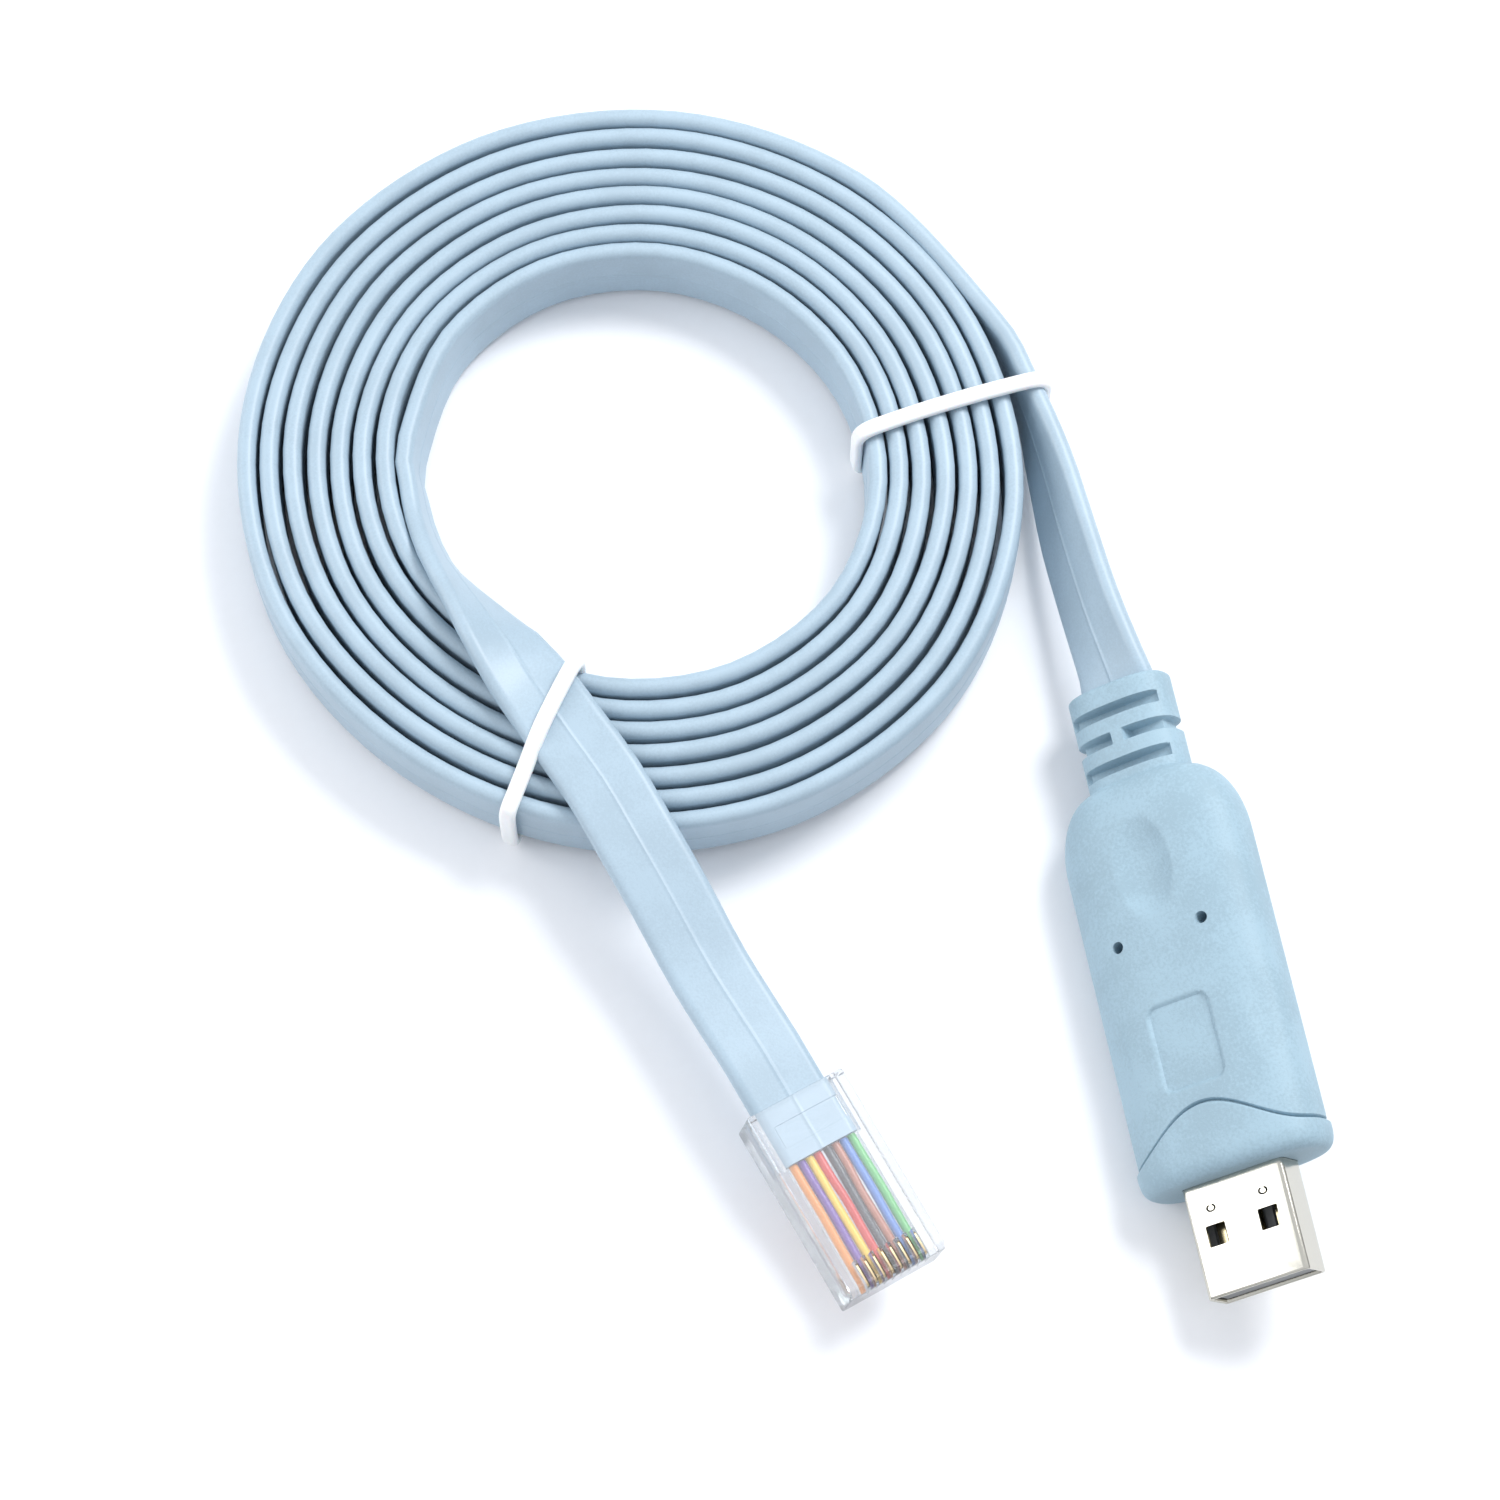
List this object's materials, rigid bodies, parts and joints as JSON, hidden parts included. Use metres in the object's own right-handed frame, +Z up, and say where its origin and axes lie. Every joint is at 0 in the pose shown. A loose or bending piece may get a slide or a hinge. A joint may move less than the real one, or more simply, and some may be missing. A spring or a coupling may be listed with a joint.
{
  "type": "rj45 console cable",
  "caption": "Flat ribbon console cable, coiled and tied, with a moulded adapter and a flat metal-shelled plug at one end and a clear modular plug at the other.",
  "frame": {"origin": "on the floor under the middle of the adapter (its housing and shell), which the cable leaves", "axes": "+Z up, -Y out of the adapter's metal shell along its axis, +X across the adapter towards its raised edge; the coil lies at -X and +Y"},
  "size_m": [0.1, 0.1483, 0.016],
  "materials": {
    "ribbon_jacket": "satin flat PVC jacket, pale blue",
    "tie": "smooth white plastic",
    "housing": "finely textured moulded plastic, pale grey-blue",
    "shell": "bright nickel plate",
    "tongue": "white moulded plastic",
    "contact": "gold plate",
    "clear_plug": "clear polycarbonate",
    "wire_orange": "orange wire insulation",
    "wire_violet": "violet wire insulation",
    "wire_yellow": "yellow wire insulation",
    "wire_red": "red wire insulation",
    "wire_grey": "grey wire insulation",
    "wire_brown": "brown wire insulation",
    "wire_blue": "blue wire insulation",
    "wire_green": "green wire insulation"
  },
  "bodies": {
    "root": {"ribbon_coil": "ribbon_jacket", "ribbon_adapter_tail": "ribbon_jacket", "ribbon_plug_tail": "ribbon_jacket", "tie_adapter_side": "tie", "tie_plug_side": "tie", "adapter_housing": "housing", "usb_shell": "shell", "usb_tongue": "tongue", "usb_contact_1": "contact", "usb_contact_2": "contact", "usb_contact_3": "contact", "usb_contact_4": "contact", "rj45_body": "clear_plug", "rj45_contact_1": "contact", "rj45_contact_2": "contact", "rj45_contact_3": "contact", "rj45_contact_4": "contact", "rj45_contact_5": "contact", "rj45_contact_6": "contact", "rj45_contact_7": "contact", "rj45_contact_8": "contact", "wire_1": "wire_orange", "wire_2": "wire_violet", "wire_3": "wire_yellow", "wire_4": "wire_red", "wire_5": "wire_grey", "wire_6": "wire_brown", "wire_7": "wire_blue", "wire_8": "wire_green"}
  },
  "joints": []
}
